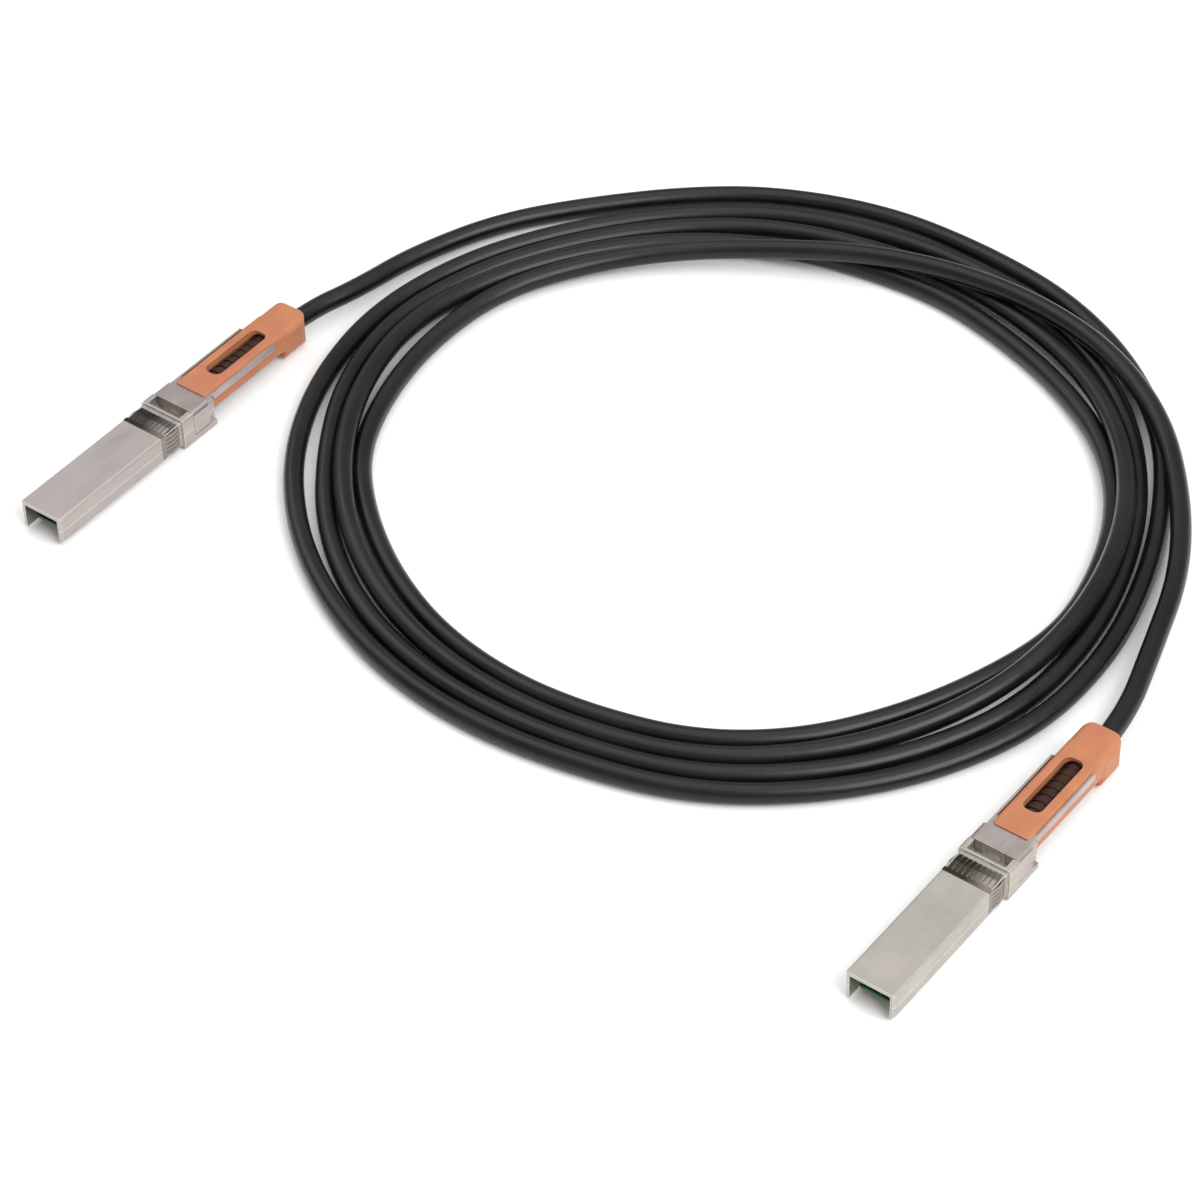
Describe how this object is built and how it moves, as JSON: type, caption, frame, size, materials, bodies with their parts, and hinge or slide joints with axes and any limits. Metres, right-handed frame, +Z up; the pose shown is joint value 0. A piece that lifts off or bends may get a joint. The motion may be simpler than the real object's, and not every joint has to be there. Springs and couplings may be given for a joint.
{
  "type": "direct attach copper cable",
  "caption": "Coiled black shielded network cable with a latching metal plug and an orange release pull tab at each end.",
  "frame": {"origin": "On the resting plane, under the middle of the box around the two plugs without the cable", "axes": "+Z up; both plugs lie along Y with their tips towards -Y and their pull tabs and cable towards +Y; +X runs from plug a to plug b; the coil lies between them and behind"},
  "size_m": [0.28, 0.2498, 0.012],
  "materials": {
    "shell_metal": "nickel plated die casting, satin",
    "card_laminate": "glass laminate with a green solder mask",
    "gold_contact": "hard gold plate",
    "chip_black": "moulded chip package",
    "capacitor_tan": "ceramic with tinned ends",
    "core_insulation": "foamed insulation",
    "plated_copper": "silver plated copper",
    "hot_melt": "low pressure moulding over the soldered cores",
    "braid_wire": "tinned braid",
    "ferrule_metal": "crimped brass",
    "cable_jacket": "extruded jacket, satin black",
    "boot_black": "moulded strain relief, matt black",
    "sheet_steel": "stamped stainless sheet, 0.6 mm",
    "tab_orange": "moulded, fine texture, orange",
    "spring_wire": "spring wire",
    "latch_metal": "satin plated",
    "emi_plate": "dark plated spring sheet",
    "screw_steel": "dark plated"
  },
  "bodies": {
    "plugs_and_cable": {"upper_shell_a": "shell_metal", "lower_shell_a": "shell_metal", "paddle_card_a": "card_laminate", "card_contacts_a": "gold_contact", "memory_chip_a": "chip_black", "chip_capacitors_a": "capacitor_tan", "wire_cores_a": "core_insulation", "core_conductors_a": "plated_copper", "core_overmould_a": "hot_melt", "shield_braid_a": "braid_wire", "shield_ferrule_a": "ferrule_metal", "jacket_end_a": "cable_jacket", "cable_boot_a": "boot_black", "yoke_springs_a": "spring_wire", "latch_pin_a": "latch_metal", "latch_spring_a": "spring_wire", "emi_spring_a": "emi_plate", "shell_screws_a": "screw_steel", "upper_shell_b": "shell_metal", "lower_shell_b": "shell_metal", "paddle_card_b": "card_laminate", "card_contacts_b": "gold_contact", "memory_chip_b": "chip_black", "chip_capacitors_b": "capacitor_tan", "wire_cores_b": "core_insulation", "core_conductors_b": "plated_copper", "core_overmould_b": "hot_melt", "shield_braid_b": "braid_wire", "shield_ferrule_b": "ferrule_metal", "jacket_end_b": "cable_jacket", "cable_boot_b": "boot_black", "yoke_springs_b": "spring_wire", "latch_pin_b": "latch_metal", "latch_spring_b": "spring_wire", "emi_spring_b": "emi_plate", "shell_screws_b": "screw_steel", "cable_lead_a": "cable_jacket", "cable_coil": "cable_jacket", "cable_lead_b": "cable_jacket"},
    "puller_a": {"release_yoke_a": "sheet_steel", "pull_tab_a": "tab_orange"},
    "lever_a": {"latch_lever_a": "latch_metal"},
    "puller_b": {"release_yoke_b": "sheet_steel", "pull_tab_b": "tab_orange"},
    "lever_b": {"latch_lever_b": "latch_metal"}
  },
  "joints": [
    {"name": "release_slide_a", "type": "slide", "parent": "plugs_and_cable", "child": "puller_a", "axis": [0, 1, 0], "range_m": [0, 0.0025], "stiffness_N_per_m": 1500, "springref_m": -0.001, "deforming": ["yoke_springs_a"]},
    {"name": "latch_hinge_a", "type": "hinge", "parent": "plugs_and_cable", "child": "lever_a", "pos_m": [-0.13265, 0.0046, 0.0015], "axis": [1, 0, 0], "range_deg": [-6.2, 0], "deforming": ["latch_spring_a"]},
    {"name": "release_slide_b", "type": "slide", "parent": "plugs_and_cable", "child": "puller_b", "axis": [0, 1, 0], "range_m": [0, 0.0025], "stiffness_N_per_m": 1500, "springref_m": -0.001, "deforming": ["yoke_springs_b"]},
    {"name": "latch_hinge_b", "type": "hinge", "parent": "plugs_and_cable", "child": "lever_b", "pos_m": [0.13265, -0.0049, 0.0015], "axis": [1, 0, 0], "range_deg": [-6.2, 0], "deforming": ["latch_spring_b"]}
  ],
  "couplings": [
    {"joint": "latch_hinge_a", "follows": "release_slide_a", "rad_per_m": -41.2},
    {"joint": "latch_hinge_b", "follows": "release_slide_b", "rad_per_m": -41.2}
  ]
}
